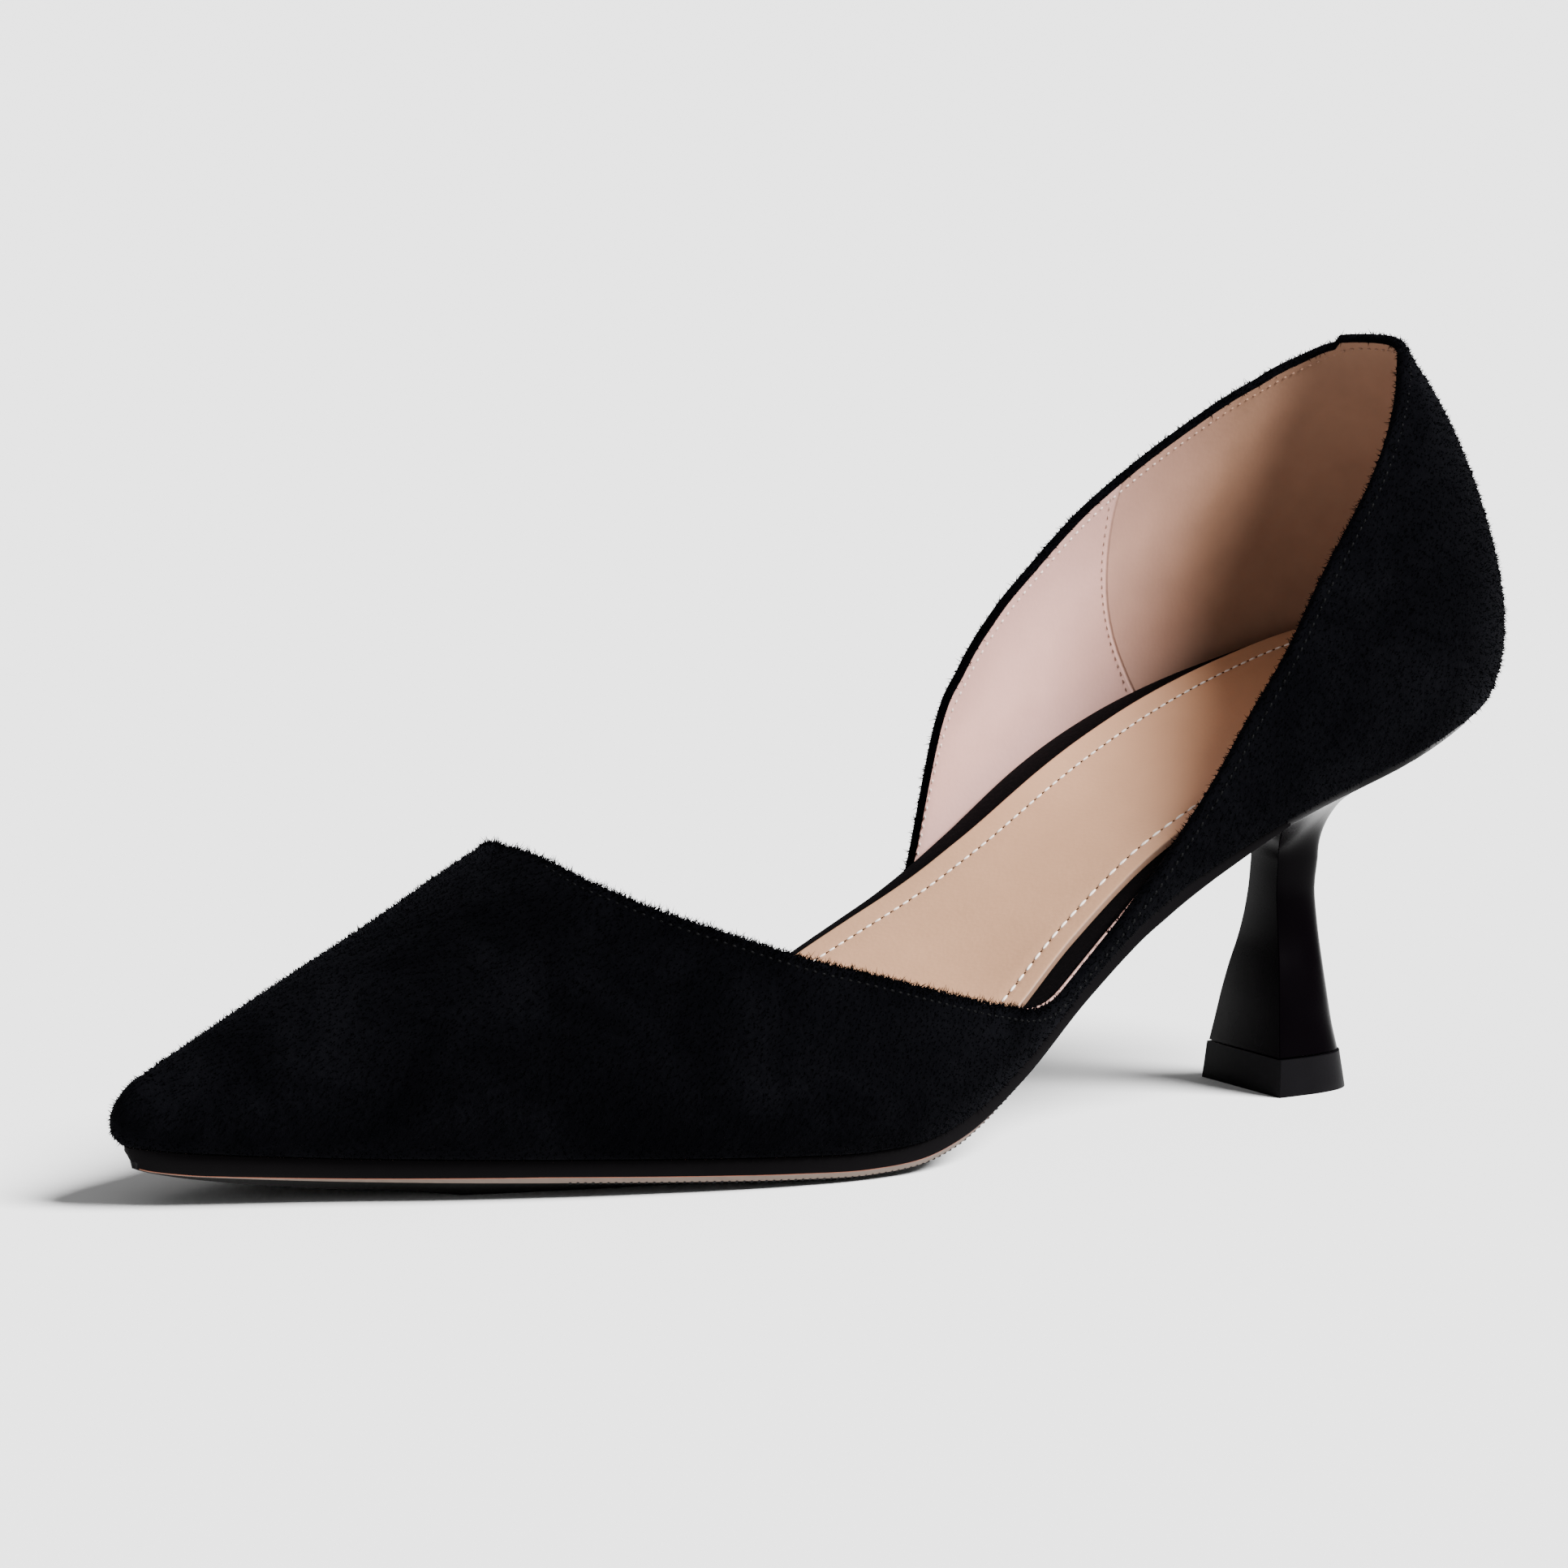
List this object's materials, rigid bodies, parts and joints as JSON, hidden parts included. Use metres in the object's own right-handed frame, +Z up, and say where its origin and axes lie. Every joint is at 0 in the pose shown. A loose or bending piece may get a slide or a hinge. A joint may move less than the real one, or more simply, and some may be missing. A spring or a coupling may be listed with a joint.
{
  "type": "d'orsay pump with flared heel",
  "caption": "Left d'Orsay pump: pointed closed toe, open waist, raised heel counter, tan sock, glossy flared spool heel; stands empty on forefoot and heel lift.",
  "frame": {"origin": "floor point under the middle of the shoe's bounding box", "axes": "+X from toe to heel, +Y from the outer (lateral) to the inner (medial) side, +Z up"},
  "size_m": [0.251, 0.0756, 0.1205],
  "materials": {
    "suede": "black napped suede",
    "lining": "smooth pink-beige lining leather",
    "sole": "black painted sole edge over a bare tan bevel",
    "heel": "glossy black lacquer",
    "lift": "satin black",
    "board": "black suede wrapped round the insole board",
    "sock": "smooth tan sock leather"
  },
  "bodies": {
    "root": {"upper": "suede", "outsole": "sole", "heel": "heel", "heel_lift": "lift", "insole_board": "board", "insole_sock": "sock"}
  },
  "joints": []
}
